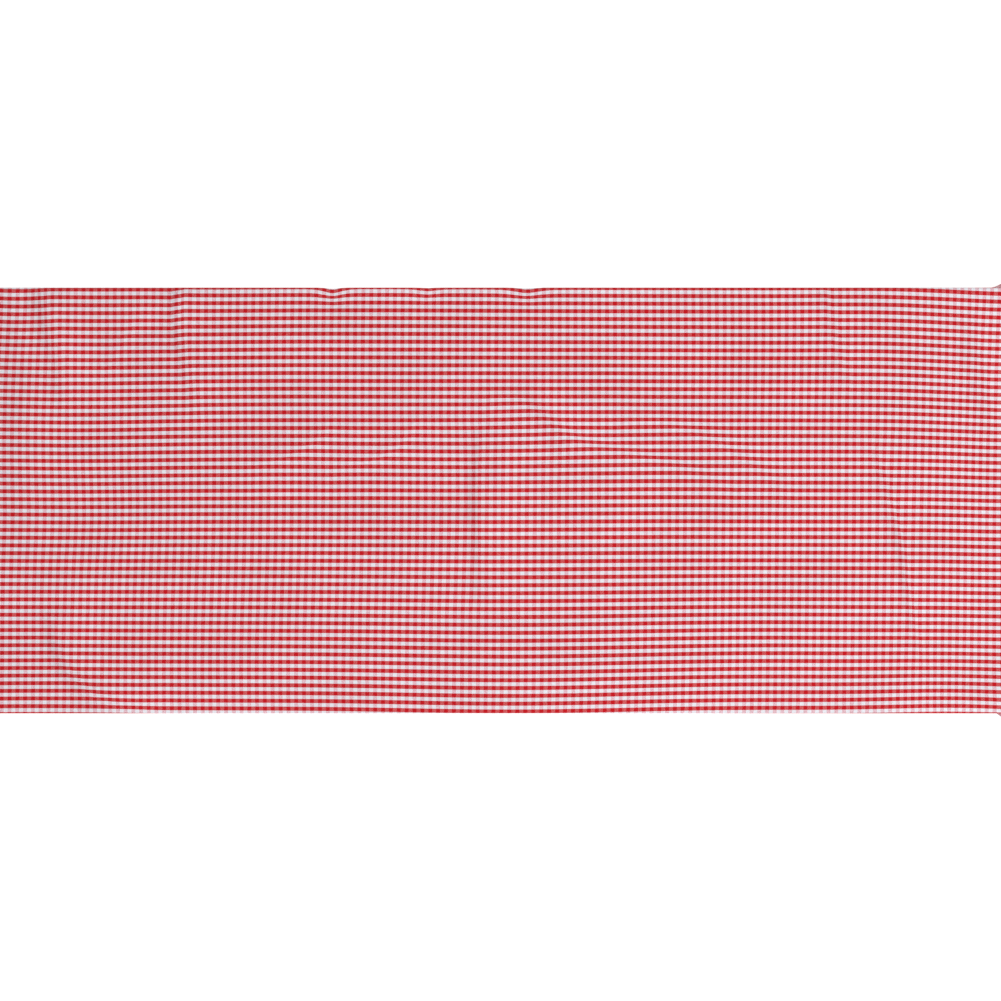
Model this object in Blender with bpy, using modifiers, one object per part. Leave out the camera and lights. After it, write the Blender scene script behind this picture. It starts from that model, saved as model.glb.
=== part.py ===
"""A rectangular gingham tablecloth, in the shape that a table top gives it.

The cloth lies flat on the top and hangs straight down past all four edges. At each corner of the
table the spare cloth falls into two folds, one standing out from either side, with the cloth's
own corner hanging lowest between them. All four edges are turned twice to the inside and sewn
with a lockstitch, so every hem has a needle thread outside and a bobbin thread inside.

Frame: metres. The origin is the middle of the table top, on which the cloth rests. +X runs along
the table, +Y to its back and +Z up. The table itself isn't part of the object.
"""

import math

import bmesh
import bpy
from mathutils import Matrix, Vector

OBJECT_NAME = "gingham_tablecloth"

# The cloth as cut and hemmed, and the table top that it lies on.
CLOTH_LENGTH = 1.829
CLOTH_WIDTH = 0.914
TABLE_LENGTH = 1.465
TABLE_DEPTH = 0.550
DROP = (CLOTH_WIDTH - TABLE_DEPTH) / 2

CLOTH_THICKNESS = 0.0005
GAP = 0.0003

# A corner fold, measured at the hem.
FOLD_START = 0.040
FOLD_STAND_OUT = 0.065
FOLD_BULGE = 0.035
FOLD_NECK = 0.012
FOLD_SEGMENTS = 18
FOLD_TOP_SHARE = 0.06

# The hem is two more layers of cloth inside the hanging edge.
HEM_WIDTH = 0.010
HEM_THICKNESS = 2 * CLOTH_THICKNESS

# A stitch line runs just below the hem's upper fold.
STITCH_FROM_EDGE = 0.0085
THREAD_WIDTH = 0.0004
THREAD_THICKNESS = 0.0003

# How far outside the table's edge the middle of the hanging cloth lies.
CLOTH_STAND_OFF = GAP + CLOTH_THICKNESS / 2

# Middle of each layer, measured outwards from the middle of the cloth.
HEM_OFFSET = -(CLOTH_THICKNESS / 2 + GAP + HEM_THICKNESS / 2)
NEEDLE_OFFSET = CLOTH_THICKNESS / 2 + GAP + THREAD_THICKNESS / 2
BOBBIN_OFFSET = HEM_OFFSET - (HEM_THICKNESS / 2 + GAP + THREAD_THICKNESS / 2)

GINGHAM_COLOUR = (0.60, 0.21, 0.24, 1.0)
THREAD_COLOUR = (0.86, 0.84, 0.83, 1.0)
CLOTH_ROUGHNESS = 0.85
THREAD_ROUGHNESS = 0.6

# Each side in turn, going round the table: its name, half its table edge, and how far that edge
# lies from the middle.
SIDES = [
    ("front", TABLE_LENGTH / 2, TABLE_DEPTH / 2),
    ("right", TABLE_DEPTH / 2, TABLE_LENGTH / 2),
    ("back", TABLE_LENGTH / 2, TABLE_DEPTH / 2),
    ("left", TABLE_DEPTH / 2, TABLE_LENGTH / 2),
]
CORNERS = ["front_right", "back_right", "back_left", "front_left"]


def clear_scene():
    for thing in list(bpy.data.objects):
        bpy.data.objects.remove(thing)


def make_material(name, colour, roughness):
    material = bpy.data.materials.new(name)
    material.use_nodes = True
    shader = material.node_tree.nodes["Principled BSDF"]
    shader.inputs["Base Color"].default_value = colour
    shader.inputs["Roughness"].default_value = roughness
    shader.inputs["Metallic"].default_value = 0.0
    return material


def add_object(name, mesh_builder, collection, colour, roughness):
    """Turn a bmesh into a named object with a material of its own."""
    mesh = bpy.data.meshes.new(name)
    mesh_builder.to_mesh(mesh)
    mesh_builder.free()
    thing = bpy.data.objects.new(name, mesh)
    mesh.materials.append(make_material(name, colour, roughness))
    collection.objects.link(thing)
    return thing


def side_to_world(side_index, along, outward, height):
    """Place a point given along a table edge, outwards from it and up from the table top."""
    reach = SIDES[side_index][2]
    turn = Matrix.Rotation(side_index * math.pi / 2, 3, "Z")
    return turn @ Vector((along, -(reach + outward), height))


def fold_line(share):
    """One straight line of a corner fold, from the table's corner to the hem.

    share runs from 0, where the fold leaves the flat of the drop, to 1, the cloth's own corner.
    It gives how far the line's foot is short of the table's corner, how far it stands out and how
    far it hangs down. The lines all start at the table's corner, so the fold is a cone and keeps
    the cloth's flat shape.
    """
    swell = math.sin(math.pi * share) ** 2
    widening = FOLD_BULGE * swell - FOLD_NECK * (1 - swell)
    short = FOLD_START * (1 - share) + math.sin(2 * math.pi * share) * widening
    stand_out = FOLD_STAND_OUT * swell
    first_angle = -math.atan(FOLD_START / DROP)
    cloth_angle = first_angle + (math.pi / 4 - first_angle) * share
    line_length = DROP / math.cos(cloth_angle)
    hang = math.sqrt(line_length**2 - stand_out**2 - short**2)
    return short, stand_out, hang


def cloth_point(side_index, end, share, reach_share):
    """A point of the hanging cloth's middle layer, near one end of a side.

    end is -1 or 1. reach_share is 0 at the table's corner and 1 at the hem.
    """
    half_edge = SIDES[side_index][1]
    short, stand_out, hang = fold_line(share)
    along = end * (half_edge + CLOTH_STAND_OFF - reach_share * short)
    outward = CLOTH_STAND_OFF + reach_share * stand_out
    return side_to_world(side_index, along, outward, -reach_share * hang)


def cloth_normal(side_index, end, share, reach_share):
    """The cloth's outward direction at the same point."""
    step = 0.001
    before = cloth_point(side_index, end, max(share - step, 0), reach_share)
    after = cloth_point(side_index, end, min(share + step, 1), reach_share)
    upper = cloth_point(side_index, end, share, reach_share - step)
    lower = cloth_point(side_index, end, share, reach_share + step)
    normal = (after - before).cross(upper - lower) * end
    return normal.normalized()


def loft(columns, reach_shares, offset, thickness, name, collection, colour, roughness):
    """A band of cloth or thread through columns of (side, end, share), as a closed solid."""
    builder = bmesh.new()
    column_steps = len(columns) - 1
    row_steps = len(reach_shares) - 1
    bmesh.ops.create_grid(builder, x_segments=column_steps, y_segments=row_steps, size=0.5)
    for vertex in builder.verts:
        column = columns[round((vertex.co.x + 0.5) * column_steps)]
        reach_share = reach_shares[round((vertex.co.y + 0.5) * row_steps)]
        normal = cloth_normal(*column, reach_share)
        vertex.co = cloth_point(*column, reach_share) + offset * normal
    bmesh.ops.recalc_face_normals(builder, faces=builder.faces)
    band = add_object(name, builder, collection, colour, roughness)
    solidify = band.modifiers.new("thickness", "SOLIDIFY")
    solidify.thickness = thickness
    solidify.offset = 0.0
    solidify.use_even_offset = True
    return band


def side_columns(side_index):
    """Columns along a whole side, ending one step short of the cloth's corners."""
    shares = [step / FOLD_SEGMENTS for step in range(FOLD_SEGMENTS)]
    first_end = [(side_index, -1, share) for share in reversed(shares)]
    second_end = [(side_index, 1, share) for share in shares]
    return first_end + second_end


def corner_columns(corner_index):
    """Columns round one corner, from one side's fold to the next side's."""
    next_side = (corner_index + 1) % len(SIDES)
    shares = [step / FOLD_SEGMENTS for step in range(FOLD_SEGMENTS + 1)]
    first_fold = [(corner_index, 1, share) for share in shares]
    second_fold = [(next_side, -1, share) for share in reversed(shares[:-1])]
    return first_fold + second_fold


def add_top_panel(collection):
    builder = bmesh.new()
    bmesh.ops.create_cube(builder, size=1)
    size = (TABLE_LENGTH, TABLE_DEPTH, CLOTH_THICKNESS)
    bmesh.ops.scale(builder, vec=size, verts=builder.verts)
    bmesh.ops.translate(builder, vec=(0, 0, CLOTH_THICKNESS / 2), verts=builder.verts)
    add_object("top_panel", builder, collection, GINGHAM_COLOUR, CLOTH_ROUGHNESS)


def add_drop(side_index, collection):
    """The flat part that hangs from one table edge, narrowing where the folds begin."""
    name, half_edge, _ = SIDES[side_index]
    builder = bmesh.new()
    bmesh.ops.create_cube(builder, size=1)
    for vertex in builder.verts:
        outward = CLOTH_STAND_OFF - CLOTH_THICKNESS * vertex.co.y
        at_hem = vertex.co.z < 0
        height = -DROP if at_hem else CLOTH_THICKNESS
        half_width = half_edge - (FOLD_START if at_hem else 0)
        along = 2 * vertex.co.x * half_width
        vertex.co = side_to_world(side_index, along, outward, height)
    add_object(name + "_drop", builder, collection, GINGHAM_COLOUR, CLOTH_ROUGHNESS)


def add_corner_fold(corner_index, collection):
    loft(
        corner_columns(corner_index),
        [FOLD_TOP_SHARE, 1],
        0,
        CLOTH_THICKNESS,
        "corner_fold_" + CORNERS[corner_index],
        collection,
        GINGHAM_COLOUR,
        CLOTH_ROUGHNESS,
    )


def add_hem(side_index, collection):
    loft(
        side_columns(side_index),
        [1 - HEM_WIDTH / DROP, 1],
        HEM_OFFSET,
        HEM_THICKNESS,
        SIDES[side_index][0] + "_hem",
        collection,
        GINGHAM_COLOUR,
        CLOTH_ROUGHNESS,
    )


def add_thread(side_index, kind, offset, collection):
    lower_edge = STITCH_FROM_EDGE - THREAD_WIDTH / 2
    upper_edge = STITCH_FROM_EDGE + THREAD_WIDTH / 2
    loft(
        side_columns(side_index),
        [1 - upper_edge / DROP, 1 - lower_edge / DROP],
        offset,
        THREAD_THICKNESS,
        SIDES[side_index][0] + "_hem_" + kind + "_thread",
        collection,
        THREAD_COLOUR,
        THREAD_ROUGHNESS,
    )


def build():
    clear_scene()
    collection = bpy.data.collections.new(OBJECT_NAME)
    bpy.context.scene.collection.children.link(collection)
    add_top_panel(collection)
    for index in range(len(SIDES)):
        add_drop(index, collection)
        add_corner_fold(index, collection)
        add_hem(index, collection)
        add_thread(index, "needle", NEEDLE_OFFSET, collection)
        add_thread(index, "bobbin", BOBBIN_OFFSET, collection)


build()
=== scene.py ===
"""Looks of the gingham tablecloth: the hanging cloth, its hems and stitches, light and camera.

The cloth is simulated over a block the size of the table top, and the result is kept as a plain
mesh. Two coordinates run through the whole script: p along the cloth's length and q across its
width, both in metres on the flat cloth with 0 in the middle. They place every point of the cloth,
its hems and its threads.
"""

import math

import bmesh
import bpy
import numpy as np
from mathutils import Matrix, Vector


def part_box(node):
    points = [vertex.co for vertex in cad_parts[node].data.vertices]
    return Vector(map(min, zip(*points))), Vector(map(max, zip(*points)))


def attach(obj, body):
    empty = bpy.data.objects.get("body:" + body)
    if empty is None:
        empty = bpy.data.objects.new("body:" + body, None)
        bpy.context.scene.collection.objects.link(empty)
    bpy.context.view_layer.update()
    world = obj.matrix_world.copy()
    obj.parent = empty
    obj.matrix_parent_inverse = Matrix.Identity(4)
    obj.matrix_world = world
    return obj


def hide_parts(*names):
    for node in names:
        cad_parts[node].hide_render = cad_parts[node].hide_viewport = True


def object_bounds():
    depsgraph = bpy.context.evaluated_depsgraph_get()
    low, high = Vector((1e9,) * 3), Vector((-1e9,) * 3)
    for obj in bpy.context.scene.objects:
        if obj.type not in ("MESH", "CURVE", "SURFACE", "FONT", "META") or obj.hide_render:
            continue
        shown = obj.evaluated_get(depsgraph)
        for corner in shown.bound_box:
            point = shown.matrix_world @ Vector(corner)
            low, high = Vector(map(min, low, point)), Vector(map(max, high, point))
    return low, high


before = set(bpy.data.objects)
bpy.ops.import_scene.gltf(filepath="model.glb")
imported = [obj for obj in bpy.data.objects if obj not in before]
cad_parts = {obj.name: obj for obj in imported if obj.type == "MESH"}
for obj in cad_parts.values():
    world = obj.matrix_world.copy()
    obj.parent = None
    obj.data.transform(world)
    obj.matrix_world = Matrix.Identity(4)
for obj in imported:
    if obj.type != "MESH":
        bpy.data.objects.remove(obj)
cad_low, cad_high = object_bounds()

# Sizes read from the frame.
TOP_LOW, TOP_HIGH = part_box("top_panel")
CLOTH_THICKNESS = TOP_HIGH.z - TOP_LOW.z
TABLE_P = TOP_HIGH.x
TABLE_Q = TOP_HIGH.y
DROP = -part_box("front_drop")[0].z
HALF_P = TABLE_P + DROP
HALF_Q = TABLE_Q + DROP

# The middle of the cloth bends over the table's edge in this radius.
BEND_RADIUS = 0.003

# The weave: one white and one red stripe make a repeat. The red share is how much of the repeat
# is red. WEAVE_SKEW is how far the columns lean along the cloth, for each metre across it.
ROW_REPEAT = 0.01005
COLUMN_REPEAT = 0.01008
RED_SHARE_OF_ROWS = 0.528
RED_SHARE_OF_COLUMNS = 0.495
YARNS_IN_REPEAT = 24
WEAVE_SKEW = 0.009

# Hem and lockstitch. HEM_LAYERS is the thickness of the two layers turned under.
HEM_WIDTH = 0.010
HEM_LAYERS = 0.0009
HEM_STATION_SPACING = 0.0045
STITCH_FROM_EDGE = 0.0085
STITCH_PITCH = 0.0028
SAMPLES_IN_STITCH = 6
THREAD_RADIUS = 0.00016
THREAD_SIDES = 5

# The camera looks straight down from above the middle of the table. PICTURE_WIDTH is what it
# shows of the table top.
CAMERA_HEIGHT = 6.0
PICTURE_WIDTH = 1.2945

# The floor is this far below the CAD model, and so clear of the cloth's lowest corner.
FLOOR_DROP = 0.012
FLOOR_SIZE = 60


# ---------------------------------------------------------------- small helpers


def smooth_step(low, high, value):
    share = np.clip((value - low) / (high - low), 0, 1)
    return share * share * (3 - 2 * share)


def spaced_lines(marks):
    """Grid lines from (start, spacing) marks in order. The last mark only ends the lines."""
    lines = [marks[0][0]]
    for (start, spacing), (end, _) in zip(marks, marks[1:]):
        steps = max(1, round((end - start) / spacing))
        lines.extend(np.linspace(start, end, steps + 1)[1:])
    return np.array(lines)


def resample(lines, values, wanted):
    """Values along the first axis at other places, by cubic Hermite curves."""
    slopes = np.gradient(values, lines, axis=0)
    index = np.clip(np.searchsorted(lines, wanted) - 1, 0, len(lines) - 2)
    shape = (-1,) + (1,) * (values.ndim - 1)
    step = (lines[index + 1] - lines[index]).reshape(shape)
    share = ((wanted - lines[index]).reshape(shape)) / step
    square = share * share
    cube = square * share
    start = (2 * cube - 3 * square + 1) * values[index]
    start_slope = (cube - 2 * square + share) * step * slopes[index]
    end = (3 * square - 2 * cube) * values[index + 1]
    end_slope = (cube - square) * step * slopes[index + 1]
    return start + start_slope + end + end_slope


def resample_grid(p_lines, q_lines, values, p_wanted, q_wanted):
    """The same in both directions. values[j, i] belongs to q_lines[j] and p_lines[i]."""
    across = resample(q_lines, values, q_wanted)
    along = resample(p_lines, np.swapaxes(across, 0, 1), p_wanted)
    return np.swapaxes(along, 0, 1)


def grid_normals(p_lines, q_lines, points):
    along = np.gradient(points, p_lines, axis=1)
    across = np.gradient(points, q_lines, axis=0)
    normals = np.cross(along, across)
    return normals / np.maximum(np.linalg.norm(normals, axis=2, keepdims=True), 1e-9)


def grid_faces(columns, rows):
    """Quads of a grid of columns x rows points, numbered along the rows."""
    first = (np.arange(rows - 1)[:, None] * columns + np.arange(columns - 1)[None, :]).ravel()
    return np.stack([first, first + 1, first + columns + 1, first + columns], axis=1)


def add_mesh(name, points, faces, material, uv=None):
    """A smooth-shaded mesh object that rides on the root body."""
    mesh = bpy.data.meshes.new(name)
    mesh.from_pydata(points.tolist(), [], faces.tolist())
    if uv is not None:
        layer = mesh.uv_layers.new(name="cloth")
        loops = np.empty(len(mesh.loops), dtype=np.int32)
        mesh.loops.foreach_get("vertex_index", loops)
        layer.data.foreach_set("uv", uv[loops].astype(np.float32).ravel())
    mesh.shade_smooth()
    mesh.update()
    thing = bpy.data.objects.new(name, mesh)
    bpy.context.scene.collection.objects.link(thing)
    mesh.materials.append(material)
    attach(thing, "root")
    return thing


# ---------------------------------------------------------------- the hanging cloth


def wrap_side(distance, table_half):
    """Where the cloth is beside a straight table edge: (outwards, height) for a flat distance."""
    bend_start = table_half + CLOTH_THICKNESS / 2 - BEND_RADIUS
    arc = math.pi / 2 * BEND_RADIUS
    past = np.clip(distance - bend_start, 0, None)
    angle = np.clip(past, 0, arc) / BEND_RADIUS
    below = np.clip(past - arc, 0, None)
    outwards = np.minimum(distance, bend_start) + BEND_RADIUS * np.sin(angle)
    height = CLOTH_THICKNESS / 2 - BEND_RADIUS * (1 - np.cos(angle)) - below
    return outwards, height


# How far a plain corner stands out and is lifted, for each metre that it hangs past both edges.
CORNER_FLARE = 0.3


def plain_shape(p_grid, q_grid):
    """The cloth flat on the top and straight down its sides, with plain flared corners."""
    out_p, low_p = wrap_side(np.abs(p_grid), TABLE_P)
    out_q, low_q = wrap_side(np.abs(q_grid), TABLE_Q)
    level = CLOTH_THICKNESS / 2
    both = np.minimum(level - low_p, level - low_q)
    out_p = out_p + CORNER_FLARE * both
    out_q = out_q + CORNER_FLARE * both
    height = np.minimum(low_p, low_q) - CORNER_FLARE * both
    return np.stack([np.sign(p_grid) * out_p, np.sign(q_grid) * out_q, height], axis=2)


# The simulation's grid is coarse on the table, where the cloth is held, and fine from SIM_MARGIN
# inside the table's edge outwards. SIM_CLEARANCE is how far the cloth's middle stays off the
# block: the outer thickness of the block and the least distance of the cloth together. The cloth
# can touch itself only from UNFOLDED_MARGIN outside the held part on, in both directions.
SIM_FINE = 0.009
SIM_COARSE = 0.045
SIM_MARGIN = 0.10
SIM_FRAMES = 70
SIM_CLEARANCE = 0.0035
SIM_START_HEIGHT = 0.001
UNFOLDED_MARGIN = 0.04
BLOCK_HEIGHT = 0.4

# The simulated shape takes over from the plain one between two distances past the table's edge:
# BLEND_DROP along the drops and BLEND_CORNER round the corners. Away from the corners the drops
# take only the share DROP_FREEDOM of it, so they hang nearly straight. The two zones say where
# the corners begin, as distances along the edge, which are below 0 before the table's corner.
BLEND_DROP = (0.008, 0.050)
BLEND_CORNER = (-0.008, 0.006)
CORNER_BLEND_ZONE = (-0.060, -0.015)
DROP_FREEDOM = 0.45
FREEDOM_ZONE = (-0.110, -0.040)


def add_table_block():
    """The block that stands in for the table while the cloth falls."""
    bpy.ops.mesh.primitive_cube_add(size=1)
    block = bpy.context.object
    inset = SIM_CLEARANCE - CLOTH_THICKNESS / 2
    block.scale = (2 * (TABLE_P - inset), 2 * (TABLE_Q - inset), BLOCK_HEIGHT)
    block.location = (0, 0, -BLOCK_HEIGHT / 2 - inset)
    bpy.ops.object.transform_apply(location=True, scale=True)
    bevel = block.modifiers.new("edge", "BEVEL")
    bevel.width = 0.004
    bevel.segments = 3
    bpy.ops.object.modifier_apply(modifier="edge")
    block.modifiers.new("collision", "COLLISION")
    block.collision.thickness_outer = 0.002
    block.collision.cloth_friction = 20
    return block


def simulation_lines(near, half):
    return spaced_lines([(-half, SIM_FINE), (-near, SIM_COARSE), (near, SIM_FINE), (half, 0)])


def simulate_cloth():
    """Let the flat cloth fall over the table block. Returns grid lines and points."""
    near_p = TABLE_P - SIM_MARGIN
    near_q = TABLE_Q - SIM_MARGIN
    p_lines = simulation_lines(near_p, HALF_P)
    q_lines = simulation_lines(near_q, HALF_Q)
    p_grid, q_grid = np.meshgrid(p_lines, q_lines)
    start_height = np.full(p_grid.size, SIM_START_HEIGHT)
    points = np.stack([p_grid.ravel(), q_grid.ravel(), start_height], axis=1)
    mesh = bpy.data.meshes.new("falling_cloth")
    mesh.from_pydata(points.tolist(), [], grid_faces(len(p_lines), len(q_lines)).tolist())
    falling = bpy.data.objects.new("falling_cloth", mesh)
    bpy.context.scene.collection.objects.link(falling)
    block = add_table_block()

    on_table = (np.abs(points[:, 0]) < near_p) & (np.abs(points[:, 1]) < near_q)
    held = falling.vertex_groups.new(name="held")
    held.add(np.flatnonzero(on_table).tolist(), 1.0, "REPLACE")
    plain_p = np.abs(points[:, 0]) < near_p + UNFOLDED_MARGIN
    plain_q = np.abs(points[:, 1]) < near_q + UNFOLDED_MARGIN
    unfolded = falling.vertex_groups.new(name="unfolded")
    unfolded.add(np.flatnonzero(plain_p | plain_q).tolist(), 1.0, "REPLACE")

    cloth = falling.modifiers.new("cloth", "CLOTH")
    settings = cloth.settings
    settings.quality = 8
    settings.mass = 0.3
    settings.tension_stiffness = 25
    settings.compression_stiffness = 25
    settings.shear_stiffness = 18
    settings.bending_stiffness = 7
    settings.air_damping = 1.5
    settings.vertex_group_mass = "held"
    contact = cloth.collision_settings
    contact.distance_min = 0.0015
    contact.collision_quality = 3
    contact.use_self_collision = True
    contact.self_distance_min = 0.003
    contact.self_friction = 3
    contact.vertex_group_self_collisions = "unfolded"
    cloth.point_cache.frame_start = 1
    cloth.point_cache.frame_end = SIM_FRAMES

    scene = bpy.context.scene
    for step in range(1, SIM_FRAMES + 1):
        scene.frame_set(step)
    evaluated = falling.evaluated_get(bpy.context.evaluated_depsgraph_get())
    result = np.empty(len(mesh.vertices) * 3, dtype=np.float32)
    evaluated.data.vertices.foreach_get("co", result)
    bpy.data.objects.remove(falling)
    bpy.data.objects.remove(block)
    scene.frame_set(1)
    return p_lines, q_lines, result.reshape(len(q_lines), len(p_lines), 3).astype(float)


def hang_cloth(p_lines, q_lines):
    """Points of the cloth's middle layer on a fine grid, before creases."""
    p_grid, q_grid = np.meshgrid(p_lines, q_lines)
    plain = plain_shape(p_grid, q_grid)
    fallen = resample_grid(*simulate_cloth(), p_lines, q_lines)
    over_p = np.abs(p_grid) - TABLE_P
    over_q = np.abs(q_grid) - TABLE_Q
    over = np.maximum(over_p, over_q)
    to_corner = np.minimum(over_p, over_q)
    near_corner = smooth_step(*CORNER_BLEND_ZONE, to_corner)
    first = BLEND_DROP[0] + (BLEND_CORNER[0] - BLEND_DROP[0]) * near_corner
    last = BLEND_DROP[1] + (BLEND_CORNER[1] - BLEND_DROP[1]) * near_corner
    freedom = DROP_FREEDOM + (1 - DROP_FREEDOM) * smooth_step(*FREEDOM_ZONE, to_corner)
    share = (freedom * smooth_step(first, last, over))[..., None]
    return plain + share * (fallen - plain)


# ---------------------------------------------------------------- creases and slack


class Crease:
    """A ridge in the flat top.

    route is its line. rise is its height, and widths are how far it slopes down on the left and on
    the right of its line. gather is how much cloth it takes up from the left and from the right,
    and slide how far the cloth has slipped along it on either side. The cloth has moved most at
    about the distance near, and still by a third at the distance reach.
    """

    # Below 1, so a crease keeps more of its height towards its ends.
    FADE_POWER = 0.7

    def __init__(self, route, rise, widths, gather=(0, 0), reach=0.045, near=0.006, slide=(0, 0)):
        self.route = smooth_route(route)
        self.rise = rise
        self.widths = widths
        self.gather = gather
        self.reach = reach
        self.near = near
        self.slide = slide
        self.starts_at_edge = at_table_edge(route[0])
        self.ends_at_edge = at_table_edge(route[-1])

    def nearest(self, p_grid, q_grid):
        """The way to the nearest point of the route, the share of the route up to there, which
        side of it the cloth is on, and the route's heading there."""
        best = np.full(p_grid.shape, np.inf)
        to_p, to_q, place, side, heading = (np.zeros(p_grid.shape) for _ in range(5))
        spans = len(self.route) - 1
        for index in range(spans):
            start = self.route[index]
            run = self.route[index + 1] - start
            past_p = p_grid - start[0]
            past_q = q_grid - start[1]
            share = np.clip((past_p * run[0] + past_q * run[1]) / (run @ run), 0, 1)
            away_p = share * run[0] - past_p
            away_q = share * run[1] - past_q
            distance = np.hypot(away_p, away_q)
            nearer = distance < best
            best = np.where(nearer, distance, best)
            to_p = np.where(nearer, away_p, to_p)
            to_q = np.where(nearer, away_q, to_q)
            place = np.where(nearer, (index + share) / spans, place)
            side = np.where(nearer, np.sign(run[1] * away_p - run[0] * away_q), side)
            heading = np.where(nearer, math.atan2(run[1], run[0]), heading)
        return to_p, to_q, place, side, heading

    def strength(self, place):
        """The share of the full height and pull. It is 1 throughout if both ends are at the
        table's edge, falls from 1 at the start to 0 at the end if only the start is, and is
        otherwise 1 in the middle and 0 at both ends."""
        if self.starts_at_edge and self.ends_at_edge:
            return np.ones(place.shape)
        if self.starts_at_edge:
            return np.cos(math.pi / 2 * place) ** self.FADE_POWER
        return np.clip(np.sin(math.pi * place), 0, 1) ** self.FADE_POWER

    def shape(self, p_grid, q_grid):
        """Height, and pull along p and q, over the whole cloth."""
        to_p, to_q, place, side, heading = self.nearest(p_grid, q_grid)
        distance = np.hypot(to_p, to_q)
        strength = self.strength(place)
        width = np.where(side > 0, self.widths[0], self.widths[1])
        height = self.rise * strength * np.exp(-((distance / width) ** 2))
        moved = strength * np.exp(-distance / self.reach) * smooth_step(0, self.near, distance)
        taken = moved * np.where(side > 0, self.gather[0], self.gather[1])
        slipped = moved * np.where(side > 0, self.slide[0], self.slide[1])
        length = np.maximum(distance, 1e-9)
        pull_p = taken * to_p / length + slipped * np.cos(heading)
        pull_q = taken * to_q / length + slipped * np.sin(heading)
        return height, pull_p, pull_q


def at_table_edge(point):
    near_edge = 0.012
    return abs(point[0]) > TABLE_P - near_edge or abs(point[1]) > TABLE_Q - near_edge


def smooth_route(route):
    """A crease's points joined by a smooth curve."""
    points = np.array(route)
    knots = np.arange(len(points), dtype=float)
    wanted = np.linspace(0, len(points) - 1, 5 * (len(points) - 1) + 1)
    return resample(knots, points, wanted)


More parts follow.
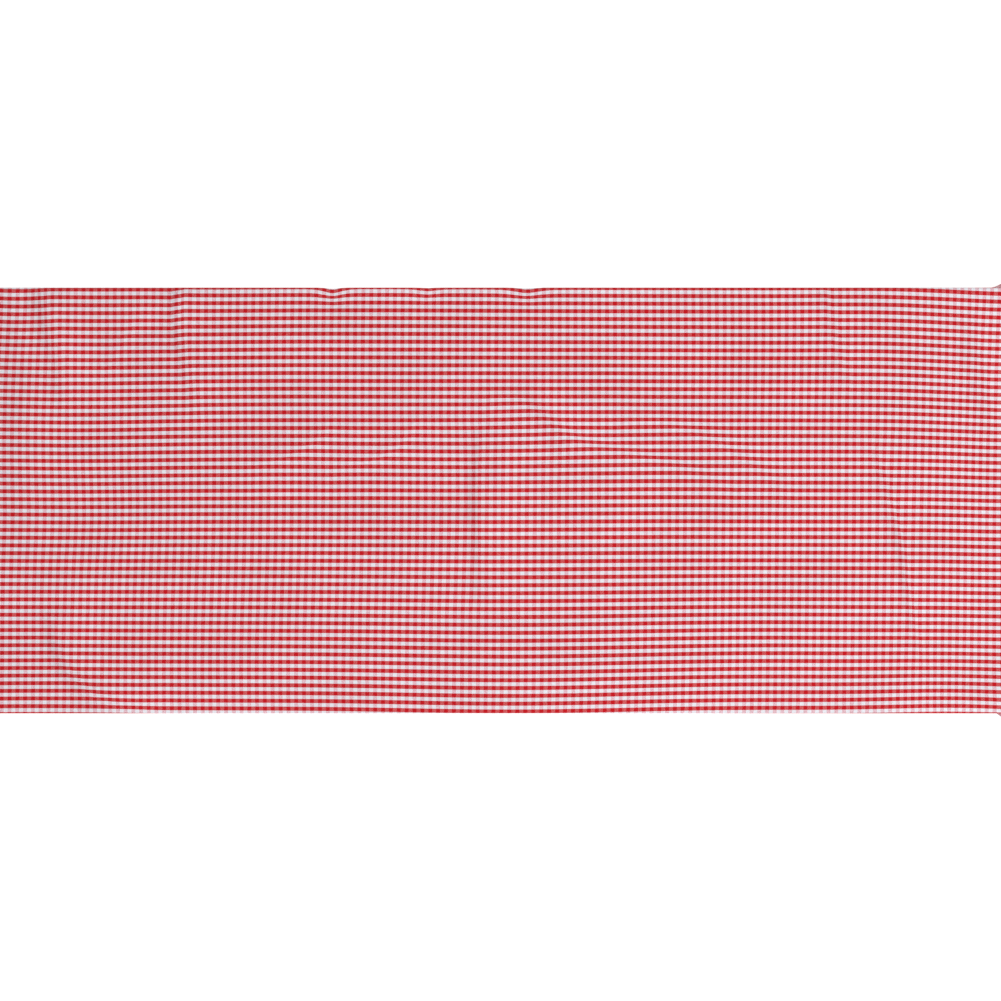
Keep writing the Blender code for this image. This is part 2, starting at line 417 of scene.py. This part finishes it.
def make_creases():
    return [
        # Down from the back edge, on the left.
        Crease(
            [(-0.417, 0.275), (-0.417, 0.230), (-0.408, 0.175), (-0.390, 0.100)],
            rise=0.0027,
            widths=(0.024, 0.0072),
            gather=(0.0034, 0.0004),
            near=0.010,
            slide=(-0.0016, 0.0016),
        ),
        Crease(
            [(-0.594, 0.275), (-0.581, 0.223), (-0.567, 0.165), (-0.561, 0.105)],
            rise=0.0046,
            widths=(0.034, 0.0125),
            gather=(0.0004, 0.0030),
            near=0.010,
            slide=(-0.0008, 0.0010),
        ),
        Crease(
            [(-0.636, 0.268), (-0.628, 0.235), (-0.618, 0.190)],
            rise=0.0016,
            widths=(0.009, 0.010),
        ),
        Crease(
            [(-0.462, 0.255), (-0.490, 0.205), (-0.510, 0.160)],
            rise=0.0012,
            widths=(0.010, 0.014),
            gather=(0.0008, 0.0004),
        ),
        # A broad one along the left.
        Crease(
            [(-0.606, 0.250), (-0.614, 0.150), (-0.620, 0.030), (-0.626, -0.090)],
            rise=0.0040,
            widths=(0.050, 0.030),
        ),
        # The long one in the middle, and a faint one beside it.
        Crease(
            [(-0.021, 0.100), (-0.028, 0.030), (-0.027, -0.040), (-0.023, -0.140)],
            rise=0.0042,
            widths=(0.050, 0.0102),
            gather=(0.0006, 0.0030),
            reach=0.09,
        ),
        Crease(
            [(0.005, 0.090), (0.001, 0.030), (0.001, -0.020)],
            rise=0.0012,
            widths=(0.014, 0.008),
        ),
        # The arch to the right of the middle, the slope under it and the one that follows it.
        Crease(
            [
                (-0.014, 0.148),
                (0.040, 0.134),
                (0.080, 0.104),
                (0.112, 0.086),
                (0.172, 0.072),
                (0.240, 0.054),
                (0.310, 0.026),
            ],
            rise=0.0028,
            widths=(0.018, 0.013),
            gather=(0.0004, 0.0034),
            near=0.018,
        ),
        Crease(
            [(0.026, 0.160), (0.064, 0.108), (0.102, 0.050)],
            rise=0.0026,
            widths=(0.018, 0.015),
        ),
        Crease(
            [(0.150, 0.112), (0.235, 0.104), (0.318, 0.064), (0.384, 0.010)],
            rise=0.0014,
            widths=(0.011, 0.009),
            gather=(0.0008, 0.0018),
            near=0.014,
        ),
        # Two short arches to the left of the middle.
        Crease(
            [(-0.330, 0.046), (-0.276, 0.060), (-0.240, 0.080), (-0.214, 0.110)],
            rise=0.0010,
            widths=(0.012, 0.009),
            gather=(0.0002, 0.0010),
        ),
        Crease(
            [(-0.220, 0.044), (-0.165, 0.055), (-0.125, 0.080), (-0.104, 0.110)],
            rise=0.0011,
            widths=(0.012, 0.008),
            gather=(0.0002, 0.0011),
        ),
        # Down the right.
        Crease(
            [(0.423, 0.275), (0.429, 0.230), (0.443, 0.180), (0.457, 0.140)],
            rise=0.0020,
            widths=(0.020, 0.006),
            gather=(0.0008, 0.0012),
            slide=(0.0006, -0.0006),
        ),
        Crease(
            [
                (0.478, 0.080),
                (0.499, 0.016),
                (0.518, -0.060),
                (0.532, -0.150),
                (0.546, -0.220),
            ],
            rise=0.0019,
            widths=(0.022, 0.0055),
            gather=(0.0034, 0.0014),
        ),
        Crease(
            [(0.608, 0.250), (0.619, 0.170), (0.640, 0.080)],
            rise=0.0032,
            widths=(0.024, 0.011),
            gather=(0.0020, 0.0010),
        ),
        # Round the front left corner, two small ones beside it, and across the front right one.
        Crease(
            [
                (-0.580, -0.140),
                (-0.569, -0.194),
                (-0.540, -0.236),
                (-0.496, -0.259),
                (-0.440, -0.268),
            ],
            rise=0.0052,
            widths=(0.026, 0.0110),
            gather=(0.0010, 0.0016),
        ),
        Crease(
            [(-0.566, -0.130), (-0.540, -0.176), (-0.500, -0.192), (-0.450, -0.188)],
            rise=0.0018,
            widths=(0.011, 0.008),
        ),
        Crease(
            [(-0.410, -0.074), (-0.382, -0.102), (-0.350, -0.130)],
            rise=0.0014,
            widths=(0.010, 0.007),
        ),
        Crease(
            [(0.664, -0.275), (0.686, -0.244), (0.7325, -0.212)],
            rise=0.0092,
            widths=(0.056, 0.040),
            gather=(0.0020, 0.0004),
        ),
    ]


# How the weave is pulled off straight: centre, reach along p and q, and pull along p and q.
PULLS = [
    ((0.66, 0.22), (0.085, 0.170), (-0.0015, -0.0062)),
    ((0.66, -0.02), (0.080, 0.300), (-0.0090, -0.0022)),
    ((0.24, -0.06), (0.170, 0.300), (0.0042, 0.0000)),
    ((0.20, 0.06), (0.200, 0.090), (0.0000, 0.0012)),
    ((0.00, 0.20), (0.300, 0.140), (0.0000, 0.0012)),
    ((0.01, -0.27), (0.180, 0.170), (0.0000, -0.0040)),
    ((-0.62, -0.28), (0.130, 0.100), (0.0000, 0.0028)),
    ((0.60, -0.28), (0.120, 0.080), (0.0000, 0.0040)),
    ((-0.29, 0.20), (0.130, 0.130), (-0.0020, 0.0010)),
    ((-0.33, -0.20), (0.180, 0.110), (-0.0034, 0.0000)),
    ((-0.55, -0.02), (0.110, 0.060), (0.0034, 0.0000)),
    ((-0.55, 0.14), (0.120, 0.160), (0.0006, -0.0024)),
    ((-0.15, 0.25), (0.160, 0.060), (0.0000, 0.0010)),
    ((0.56, 0.20), (0.060, 0.140), (0.0000, -0.0014)),
    ((0.30, 0.22), (0.220, 0.100), (0.0016, 0.0000)),
    ((0.61, -0.26), (0.070, 0.090), (-0.0040, 0.0000)),
    ((-0.63, 0.26), (0.040, 0.080), (0.0042, -0.0020)),
    ((0.13, -0.24), (0.140, 0.100), (0.0018, 0.0000)),
    ((0.10, -0.04), (0.090, 0.180), (0.0012, 0.0000)),
    ((0.33, -0.20), (0.130, 0.120), (0.0000, 0.0011)),
    ((-0.217, 0.275), (0.016, 0.014), (0.0000, -0.0042)),
    ((-0.094, 0.275), (0.016, 0.012), (0.0000, -0.0020)),
    ((0.034, 0.275), (0.022, 0.014), (0.0000, -0.0036)),
]

# Tucks where the cloth turns over the back edge: place along p, half width and depth. They deepen
# over TUCK_START, given as distances inside the table's edge, and run out TUCK_LENGTH past it.
EDGE_TUCKS = [(-0.217, 0.010, 0.0016), (-0.094, 0.009, 0.0007), (0.034, 0.013, 0.0012)]
TUCK_START = (0.022, 0.002)
TUCK_LENGTH = 0.09

# Slow waves of the drops: length, phase along the front and back, phase along the two ends, and
# height. They begin WAVE_START down the drop, and die away towards a corner over WAVE_END_ZONE.
DROP_WAVES = [(0.340, 0.4, 1.9, 0.0016), (0.215, 2.2, 0.3, 0.0012), (0.123, 4.1, 2.6, 0.0007)]
WAVE_START = 0.01
WAVE_END_ZONE = (-0.10, -0.02)

# The weave is pulled off straight down to this share of the drop.
PULL_REACH = 0.8


def edge_tucks(p_grid, q_grid):
    """How far the cloth is drawn in at the tucks. They run out down the drop."""
    depth = np.zeros(p_grid.shape)
    for place, half_width, most in EDGE_TUCKS:
        depth += most * np.exp(-(((p_grid - place) / half_width) ** 2))
    near_edge = smooth_step(TABLE_Q - TUCK_START[0], TABLE_Q - TUCK_START[1], q_grid)
    return depth * near_edge * (1 - smooth_step(TABLE_Q, TABLE_Q + TUCK_LENGTH, q_grid))


def drop_waves(p_grid, q_grid):
    """How far the drops swing outwards, more towards the hem."""
    past_p = np.abs(p_grid) - TABLE_P
    past_q = np.abs(q_grid) - TABLE_Q
    wave = np.zeros(p_grid.shape)
    for length, long_phase, short_phase, height in DROP_WAVES:
        on_long = 1 + np.sin(2 * math.pi * p_grid / length + long_phase + np.sign(q_grid))
        on_short = 1 + np.sin(2 * math.pi * q_grid / length + short_phase + np.sign(p_grid))
        wave += height * np.where(past_q > past_p, on_long, on_short)
    low = smooth_step(WAVE_START, DROP, np.maximum(past_p, past_q))
    away_from_corner = 1 - smooth_step(*WAVE_END_ZONE, np.minimum(past_p, past_q))
    return wave * low * away_from_corner


class Slack:
    """What creases, waves and pulled yarns add to the cloth: how far it rises off its plain
    shape, and how far the weave is pulled along p and q."""

    def __init__(self, p_grid, q_grid):
        self.rise = np.zeros(p_grid.shape)
        self.pull_p = WEAVE_SKEW * q_grid
        self.pull_q = np.zeros(p_grid.shape)
        on_p = np.clip(p_grid, -TABLE_P, TABLE_P)
        on_q = np.clip(q_grid, -TABLE_Q, TABLE_Q)
        for crease in make_creases():
            height, pull_p, pull_q = crease.shape(on_p, on_q)
            self.rise += height
            self.pull_p += pull_p
            self.pull_q += pull_q
        for centre, reach, pull in PULLS:
            away = ((on_p - centre[0]) / reach[0]) ** 2 + ((on_q - centre[1]) / reach[1]) ** 2
            self.pull_p += pull[0] * np.exp(-away)
            self.pull_q += pull[1] * np.exp(-away)
        past = np.hypot(p_grid - on_p, q_grid - on_q)
        fade = 1 - smooth_step(0, PULL_REACH * DROP, past)
        to_edge = np.minimum(TABLE_P - np.abs(p_grid), TABLE_Q - np.abs(q_grid))
        # A ridge comes down to the table just before the edge, over a longer way if it is high.
        self.rise *= smooth_step(0.001, 0.006 + 1.4 * self.rise, to_edge)
        self.rise += drop_waves(p_grid, q_grid)
        self.pull_p *= fade
        self.pull_q *= fade


# ---------------------------------------------------------------- materials


class Nodes:
    """Short calls for making shader nodes."""

    def __init__(self, material):
        material.use_nodes = True
        self.tree = material.node_tree
        self.tree.nodes.clear()

    def add(self, kind, inputs=(), **settings):
        node = self.tree.nodes.new(kind)
        for key, value in settings.items():
            setattr(node, key, value)
        for key, value in dict(inputs).items():
            if isinstance(value, bpy.types.NodeSocket):
                self.tree.links.new(value, node.inputs[key])
            else:
                node.inputs[key].default_value = value
        return node

    def math(self, operation, *values):
        return self.add("ShaderNodeMath", enumerate(values), operation=operation).outputs[0]

    def mix(self, share, first, second, blend_type="MIX"):
        inputs = {0: share, 6: first, 7: second}
        node = self.add("ShaderNodeMix", inputs, data_type="RGBA", blend_type=blend_type)
        return node.outputs[2]

    def ramp(self, value, low, high):
        """0 below low and 1 above high, smooth between."""
        inputs = {0: value, 1: low, 2: high, 3: 0.0, 4: 1.0}
        node = self.add("ShaderNodeMapRange", inputs, interpolation_type="SMOOTHSTEP")
        return node.outputs[0]

    def noise(self, vector, scale, detail):
        inputs = {"Vector": vector, "Scale": scale, "Detail": detail}
        return self.add("ShaderNodeTexNoise", inputs).outputs["Fac"]

    def combine(self, x, y, z):
        return self.add("ShaderNodeCombineXYZ", {0: x, 1: y, 2: z}).outputs[0]

    def scaled(self, vector, x, y):
        return self.add("ShaderNodeMapping", {"Vector": vector, "Scale": (x, y, 1.0)}).outputs[0]

    def bump(self, height, strength):
        inputs = {"Strength": strength, "Distance": 1.0, "Height": height}
        return self.add("ShaderNodeBump", inputs).outputs[0]

    def finish(self, surface):
        """A plain surface with these inputs, as the material's result."""
        shader = self.add("ShaderNodeBsdfPrincipled", surface)
        self.add("ShaderNodeOutputMaterial", {0: shader.outputs[0]})


# Linear colours of the yarns. The last three are yarns in a square where the other direction has
# the other colour: the white warp of a red row, and the red warp and the white weft of a white row.
# Their tints are painted bounce light and shade from the yarns of the other colour beside them: the
# two white yarns are painted pink, the white warp also darker, and the red warp paler.
RED = (0.555, 0.0040, 0.0100, 1)
WHITE = (0.825, 0.820, 0.875, 1)
RED_ROW_WARP = (0.760, 0.250, 0.255, 1)
WHITE_ROW_WARP = (0.600, 0.130, 0.170, 1)
WHITE_ROW_WEFT = (0.880, 0.725, 0.800, 1)

# How much more the weft shows than the warp, how soft the borders are, and how dark the painted
# shade in the gaps between yarns is.
WEFT_SHARE = 0.22
YARN_BLUR = 0.30
STRIPE_BLUR = 0.06
GAP_SHADE = 0.80

# Uneven yarns, bands and patches: the shade is SHADE_BASE, plus SHADE_SPREAD for each noise.
SHADE_BASE = 0.72
SHADE_SPREAD = 0.14
ALONG_YARN = 60.0
ACROSS_YARN = 2400.0

# Depths of the fine relief, in metres.
YARN_RELIEF = 0.00008
SOFT_RELIEF = 0.0012
PUCKER_RELIEF = 0.0009
SEAM_DENT = 0.00035
PLY_RELIEF = 0.00004

# The seam's dent reaches SEAM_REACH to either side of its stitches, and the puckers fade between
# the two distances from the cloth's edge.
SEAM_REACH = 0.0022
PUCKER_FADE = (0.006, 0.020)

# The plies of the thread turn once round in this length.
THREAD_TWIST = 0.0006


def mesh_coordinates(nodes):
    """The mesh's two coordinates: p and q of the flat cloth, or the place along and the turn
    round a thread."""
    uv = nodes.add("ShaderNodeUVMap", uv_map="cloth").outputs[0]
    parts = nodes.add("ShaderNodeSeparateXYZ", {0: uv})
    return uv, parts.outputs[0], parts.outputs[1]


def stripes(nodes, place, repeat, red_share):
    """1 on the red stripe of every repeat and 0 on the white one."""
    turn = nodes.math("MULTIPLY", place, 2 * math.pi / repeat)
    wave = nodes.math("SINE", turn)
    border = -math.sin(math.pi * (red_share - 0.5))
    return nodes.ramp(wave, border - STRIPE_BLUR, border + STRIPE_BLUR)


def gingham_material():
    material = bpy.data.materials.new("gingham")
    nodes = Nodes(material)
    uv, p_place, q_place = mesh_coordinates(nodes)
    red_column = stripes(nodes, p_place, COLUMN_REPEAT, RED_SHARE_OF_COLUMNS)
    red_row = stripes(nodes, q_place, ROW_REPEAT, RED_SHARE_OF_ROWS)

    column_turn = nodes.math("MULTIPLY", p_place, math.pi * YARNS_IN_REPEAT / COLUMN_REPEAT)
    row_turn = nodes.math("MULTIPLY", q_place, math.pi * YARNS_IN_REPEAT / ROW_REPEAT)
    column_wave = nodes.math("SINE", column_turn)
    row_wave = nodes.math("SINE", row_turn)
    over_under = nodes.math("MULTIPLY", column_wave, row_wave)
    weft_up = nodes.ramp(nodes.math("ADD", over_under, WEFT_SHARE), -YARN_BLUR, YARN_BLUR)

    # The crossing yarns take the tinted colours, with their painted bounce light and shade.
    white_row = nodes.mix(red_column, WHITE, WHITE_ROW_WEFT)
    weft_colour = nodes.mix(red_row, white_row, RED)
    white_warp = nodes.mix(red_row, WHITE, RED_ROW_WARP)
    red_warp = nodes.mix(red_row, WHITE_ROW_WARP, RED)
    warp_colour = nodes.mix(red_column, white_warp, red_warp)
    woven = nodes.mix(weft_up, warp_colour, weft_colour)
    row_round = nodes.math("ABSOLUTE", row_wave)
    column_round = nodes.math("ABSOLUTE", column_wave)
    weft_round = nodes.math("MULTIPLY", row_round, weft_up)
    warp_up = nodes.math("SUBTRACT", 1.0, weft_up)
    round_yarn = nodes.math("MULTIPLY_ADD", column_round, warp_up, weft_round)
    # Painted shade: darker in the gaps between yarns and lighter on their crowns.
    painted_gap_shade = nodes.math("MULTIPLY_ADD", round_yarn, 1.0 - GAP_SHADE, GAP_SHADE)

    slub_rows = nodes.noise(nodes.scaled(uv, ALONG_YARN, ACROSS_YARN), 1.0, 1.0)
    slub_columns = nodes.noise(nodes.scaled(uv, ACROSS_YARN, ALONG_YARN), 1.0, 1.0)
    bands = nodes.noise(nodes.scaled(uv, 3.0, 80.0), 1.0, 2.0)
    patches = nodes.noise(uv, 9.0, 3.0)
    slubs = nodes.math("ADD", slub_rows, slub_columns)
    unevenness = nodes.math("ADD", slubs, nodes.math("ADD", bands, patches))
    uneven_shade = nodes.math("MULTIPLY_ADD", unevenness, SHADE_SPREAD, SHADE_BASE)
    # The yarns' real unevenness times the painted shade between them.
    shade = nodes.math("MULTIPLY", uneven_shade, painted_gap_shade)
    grey = nodes.combine(shade, shade, shade)
    varied = nodes.mix(1.0, woven, grey, blend_type="MULTIPLY")

    soft = nodes.noise(uv, 45.0, 3.0)
    soft_relief = nodes.math("MULTIPLY", soft, SOFT_RELIEF)
    relief = nodes.math("MULTIPLY_ADD", round_yarn, YARN_RELIEF, soft_relief)
    edge_p = nodes.math("SUBTRACT", HALF_P, nodes.math("ABSOLUTE", p_place))
    edge_q = nodes.math("SUBTRACT", HALF_Q, nodes.math("ABSOLUTE", q_place))
    from_edge = nodes.math("MINIMUM", edge_p, edge_q)
    seam = nodes.math("ABSOLUTE", nodes.math("SUBTRACT", from_edge, STITCH_FROM_EDGE))
    dent = nodes.math("SUBTRACT", 1.0, nodes.ramp(seam, 0.0, SEAM_REACH))
    puckers = nodes.noise(uv, 240.0, 2.0)
    pucker_reach = nodes.math("SUBTRACT", 1.0, nodes.ramp(from_edge, *PUCKER_FADE))
    puckered = nodes.math("MULTIPLY", nodes.math("MULTIPLY", puckers, pucker_reach), PUCKER_RELIEF)
    sewn = nodes.math("MULTIPLY_ADD", dent, -SEAM_DENT, puckered)
    height = nodes.math("ADD", relief, sewn)
    surface = {
        "Base Color": varied,
        "Normal": nodes.bump(height, 1.0),
        "Roughness": 0.88,
        "Specular IOR Level": 0.2,
        "Sheen Weight": 0.06,
        "Sheen Roughness": 0.5,
    }
    nodes.finish(surface)
    return material


def thread_material():
    material = bpy.data.materials.new("sewing_thread")
    nodes = Nodes(material)
    _, along, turn = mesh_coordinates(nodes)
    twist = nodes.math("MULTIPLY_ADD", along, 2 * math.pi / THREAD_TWIST, turn)
    plies = nodes.math("MULTIPLY_ADD", nodes.math("SINE", twist), 0.5, 0.5)
    # Painted shade: the thread is darker in the grooves between its plies and lighter on their
    # crowns.
    colour = nodes.mix(plies, (0.62, 0.60, 0.58, 1), (0.84, 0.83, 0.81, 1))
    height = nodes.math("MULTIPLY", plies, PLY_RELIEF)
    surface = {
        "Base Color": colour,
        "Normal": nodes.bump(height, 0.8),
        "Roughness": 0.5,
        "Sheen Weight": 0.1,
    }
    nodes.finish(surface)
    return material


# ---------------------------------------------------------------- cloth, hems and threads

SIDES = ["front", "right", "back", "left"]

# Stretches of the top, along p and along q, where creases need a finer mesh.
FINE_P = [
    (-0.618, -0.560),
    (-0.432, -0.388),
    (-0.228, -0.205),
    (-0.056, -0.012),
    (0.022, 0.046),
    (0.506, 0.546),
]
FINE_Q = [(0.035, 0.150)]
TOP_SPACING = 0.0096
CREASE_SPACING = 0.0035
BEND_SPACING = 0.0012
BEND_ZONE = 0.006
DROP_SPACING = 0.0055
HEM_SPACING = 0.0034


def cloth_lines(table_half, half, fine):
    """Grid lines across the cloth, close together at its hems, bends and creases."""
    marks = [(-half, HEM_SPACING), (-half + HEM_WIDTH, DROP_SPACING)]
    marks += [(-table_half - BEND_ZONE, BEND_SPACING), (-table_half + BEND_ZONE, TOP_SPACING)]
    for start, end in fine:
        marks += [(start, CREASE_SPACING), (end, TOP_SPACING)]
    marks += [(table_half - BEND_ZONE, BEND_SPACING), (table_half + BEND_ZONE, DROP_SPACING)]
    marks += [(half - HEM_WIDTH, HEM_SPACING), (half, 0)]
    return spaced_lines(marks)


class Cloth:
    """The finished middle layer of the cloth, with points and normals at any place."""

    def __init__(self):
        self.p_lines = cloth_lines(TABLE_P, HALF_P, FINE_P)
        self.q_lines = cloth_lines(TABLE_Q, HALF_Q, FINE_Q)
        self.p_grid, self.q_grid = np.meshgrid(self.p_lines, self.q_lines)
        self.slack = Slack(self.p_grid, self.q_grid)
        points = hang_cloth(self.p_lines, self.q_lines)
        normals = grid_normals(self.p_lines, self.q_lines, points)
        self.points = points + normals * self.slack.rise[..., None]
        self.points[..., 1] -= edge_tucks(self.p_grid, self.q_grid)
        self.normals = grid_normals(self.p_lines, self.q_lines, self.points)

    def edge_strip(self, side, from_edge, stations):
        """Points and outward normals beside one edge: station by station, for each distance."""
        places = across_edge(side, np.array(from_edge))
        results = []
        for field in (self.points, self.normals):
            if is_long(side):
                rows = resample(self.q_lines, field, places)
                strip = resample(self.p_lines, np.swapaxes(rows, 0, 1), stations)
            else:
                columns = resample(self.p_lines, np.swapaxes(field, 0, 1), places)
                strip = resample(self.q_lines, np.swapaxes(columns, 0, 1), stations)
            results.append(strip)
        return results


def is_long(side):
    return side in ("front", "back")


def half_length(side):
    return HALF_P if is_long(side) else HALF_Q


def across_edge(side, from_edge):
    """Where a distance from an edge is: q beside the long edges, and p beside the short ones."""
    half = HALF_Q if is_long(side) else HALF_P
    sign = 1 if side in ("back", "right") else -1
    return sign * (half - from_edge)


def edge_uv(side, station, from_edge):
    """p and q of a point at a station along an edge. Past the edge the cloth is turned under."""
    across = across_edge(side, from_edge)
    if is_long(side):
        return np.stack([station, across], axis=-1)
    return np.stack([across, station], axis=-1)


def add_panel(cloth, material):
    columns = len(cloth.p_lines)
    rows = len(cloth.q_lines)
    place_p = cloth.p_grid - cloth.slack.pull_p
    place_q = cloth.q_grid - cloth.slack.pull_q
    uv = np.stack([place_p.ravel(), place_q.ravel()], axis=1)
    faces = grid_faces(columns, rows)
    panel = add_mesh("tablecloth_panel", cloth.points.reshape(-1, 3), faces, material, uv)
    thickness = panel.modifiers.new("thickness", "SOLIDIFY")
    thickness.thickness = CLOTH_THICKNESS
    thickness.offset = 0.0
    return panel


# The turned hem in section: distance from the cloth's edge and depth inside the cloth's middle.
HEM_SECTION = [
    (0.00050, -0.00029),
    (-0.00010, -0.00029),
    (-0.00034, -0.00006),
    (-0.00040, 0.00034),
    (-0.00026, 0.00084),
    (0.00020, 0.00104),
    (0.00260, 0.00112),
    (0.00560, 0.00112),
    (0.00850, 0.00098),
    (0.00940, 0.00102),
    (0.00990, 0.00080),
    (0.00996, 0.00046),
    (0.00940, 0.00028),
    (0.00050, 0.00028),
]


# The end of a long hem rises over the short one between these distances from the cloth's end.
HEM_LAP = (0.016, 0.0105)


def hem_lift(side, stations):
    """The long hems are turned last, so their ends lie over the short ones."""
    if not is_long(side):
        return np.zeros(len(stations))
    return HEM_LAYERS * smooth_step(HALF_P - HEM_LAP[0], HALF_P - HEM_LAP[1], np.abs(stations))


def add_hem(cloth, side, material):
    half = half_length(side)
    stations = np.linspace(-half, half, round(2 * half / HEM_STATION_SPACING) + 1)
    from_edge = np.array([point[0] for point in HEM_SECTION])
    depth = np.array([point[1] for point in HEM_SECTION])
    points, normals = cloth.edge_strip(side, np.maximum(from_edge, 0), stations)
    beyond, _ = cloth.edge_strip(side, [0.0, 0.002], stations)
    outwards = beyond[:, 0] - beyond[:, 1]
    outwards /= np.linalg.norm(outwards, axis=1, keepdims=True)
    past_edge = np.maximum(-from_edge, 0)
    inner = np.clip(depth / HEM_LAYERS, 0, 1)
    lifted = depth[None, :] + hem_lift(side, stations)[:, None] * inner[None, :]
    ring = points - normals * lifted[..., None] + outwards[:, None, :] * past_edge[None, :, None]
    ring_size = len(HEM_SECTION)
    place = np.repeat(stations[:, None], ring_size, axis=1)
    turned = np.where(depth > 0, -np.abs(from_edge), from_edge)
    uv = edge_uv(side, place, np.repeat(turned[None, :], len(stations), axis=0))
    quads, ends = ring_faces(len(stations), ring_size)
    hem = add_mesh(side + "_hem_turned", ring.reshape(-1, 3), quads, material, uv.reshape(-1, 2))
    close_ends(hem, ends)
    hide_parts(side + "_hem")
    return hem


def ring_faces(stations, ring_size):
    """Quads of a tube made of rings, and the two end polygons."""
    start = np.arange(stations - 1)[:, None] * ring_size
    end = start + ring_size
    corner = np.arange(ring_size)[None, :]
    after = (corner + 1) % ring_size
    quads = np.stack([start + corner, start + after, end + after, end + corner], axis=2)
    last = (stations - 1) * ring_size
    first_end = list(range(ring_size))[::-1]
    last_end = [last + index for index in range(ring_size)]
    return quads.reshape(-1, 4), [first_end, last_end]


def close_ends(tube, polygons):
    builder = bmesh.new()
    builder.from_mesh(tube.data)
    builder.verts.ensure_lookup_table()
    for polygon in polygons:
        builder.faces.new([builder.verts[index] for index in polygon])
    bmesh.ops.recalc_face_normals(builder, faces=builder.faces)
    builder.to_mesh(tube.data)
    builder.free()


# A stitch dips into the cloth at a needle hole by STITCH_DIP. Between two holes it stands higher
# than there by STITCH_STAND_OFF and its radius, and a power below 1 makes it flat with steep ends.
STITCH_DIP = 0.00022
STITCH_STAND_OFF = 0.00020
STITCH_POWER = 0.45

# Stitches lie a little to one side or the other, by a sine that turns on from stitch to stitch.
STITCH_WANDER = 0.00006
WANDER_TURN = 2.4

# A thread stops this far from the cloth's ends. The bobbin thread lies this far inside the middle.
THREAD_END_GAP = 0.0012
INSIDE_OF_HEM = 0.00100


def add_thread(cloth, side, kind, material):
    """One thread of a lockstitch: it lies on the cloth and dips into it at every needle hole."""
    half = half_length(side) - THREAD_END_GAP
    stitches = round(2 * half / STITCH_PITCH)
    stations = np.linspace(-half, half, stitches * SAMPLES_IN_STITCH + 1)
    count = np.arange(len(stations)) / SAMPLES_IN_STITCH
    points, normals = cloth.edge_strip(side, [STITCH_FROM_EDGE, STITCH_FROM_EDGE - 0.002], stations)
    path = points[:, 0]
    normal = normals[:, 0]
    across = points[:, 1] - path
    across /= np.linalg.norm(across, axis=1, keepdims=True)
    arch = np.abs(np.sin(math.pi * count)) ** STITCH_POWER
    stand_off = (THREAD_RADIUS + STITCH_STAND_OFF) * arch
    if kind == "needle":
        out = CLOTH_THICKNESS / 2 - STITCH_DIP + stand_off
    else:
        inside = INSIDE_OF_HEM + hem_lift(side, stations)
        out = -(inside - STITCH_DIP + stand_off)
    wander = STITCH_WANDER * np.sin(WANDER_TURN * np.floor(count)) * arch
    path = path + normal * out[:, None] + across * wander[:, None]
    turns = np.arange(THREAD_SIDES) * 2 * math.pi / THREAD_SIDES
    sideways = np.cos(turns)[None, :, None] * across[:, None, :]
    outwards = np.sin(turns)[None, :, None] * normal[:, None, :]
    ring = path[:, None, :] + THREAD_RADIUS * (sideways + outwards)
    uv = np.stack(np.broadcast_arrays(stations[:, None], turns[None, :]), axis=2)
    quads, ends = ring_faces(len(stations), THREAD_SIDES)
    name = f"{side}_hem_{kind}_stitches"
    thread = add_mesh(name, ring.reshape(-1, 3), quads, material, uv.reshape(-1, 2))
    close_ends(thread, ends)
    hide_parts(f"{side}_hem_{kind}_thread")
    return thread


def build_cloth():
    gingham = gingham_material()
    thread = thread_material()
    cloth = Cloth()
    panel = add_panel(cloth, gingham)
    corners = ["front_left", "front_right", "back_left", "back_right"]
    drops = [side + "_drop" for side in SIDES]
    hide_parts("top_panel", *drops, *["corner_fold_" + corner for corner in corners])
    for side in SIDES:
        hem = add_hem(cloth, side, gingham)
        for kind in ("needle", "bobbin"):
            stitches = add_thread(cloth, side, kind, thread)


# ---------------------------------------------------------------- floor, light and camera


def add_floor():
    height = cad_low.z - FLOOR_DROP
    bpy.ops.mesh.primitive_plane_add(size=FLOOR_SIZE, location=(0, 0, height))
    floor = bpy.context.object
    floor.name = "floor"
    material = bpy.data.materials.new("floor")
    nodes = Nodes(material)
    surface = {
        "Base Color": (0.30, 0.30, 0.30, 1),
        "Roughness": 0.9,
        "Emission Color": (1, 1, 1, 1),
        "Emission Strength": 0.92,
    }
    nodes.finish(surface)
    floor.data.materials.append(material)


def add_area_light(name, location, target, size, power):
    data = bpy.data.lights.new(name, "AREA")
    data.shape = "SQUARE"
    data.size = size
    data.energy = power
    light = bpy.data.objects.new(name, data)
    light.location = location
    direction = target - light.location
    light.rotation_euler = direction.to_track_quat("-Z", "Y").to_euler()
    bpy.context.scene.collection.objects.link(light)


def add_light():
    middle = (cad_low + cad_high) / 2
    add_area_light("overhead", (0.3, -1.6, 3.2), middle, size=2.0, power=46)
    add_area_light("side", (7.0, 0.0, 5.0), middle, size=1.6, power=438)
    world = bpy.data.worlds.new("studio")
    world.use_nodes = True
    background = world.node_tree.nodes["Background"]
    background.inputs[0].default_value = (1, 1, 1, 1)
    background.inputs[1].default_value = 0.45
    bpy.context.scene.world = world


def add_camera():
    data = bpy.data.cameras.new("camera")
    data.sensor_width = 36
    data.lens = data.sensor_width * CAMERA_HEIGHT / PICTURE_WIDTH
    camera = bpy.data.objects.new("camera", data)
    camera.location = (0, 0, CAMERA_HEIGHT)
    bpy.context.scene.collection.objects.link(camera)
    bpy.context.scene.camera = camera
    bpy.context.scene.view_settings.view_transform = "Standard"


build_cloth()
add_floor()
add_light()
add_camera()
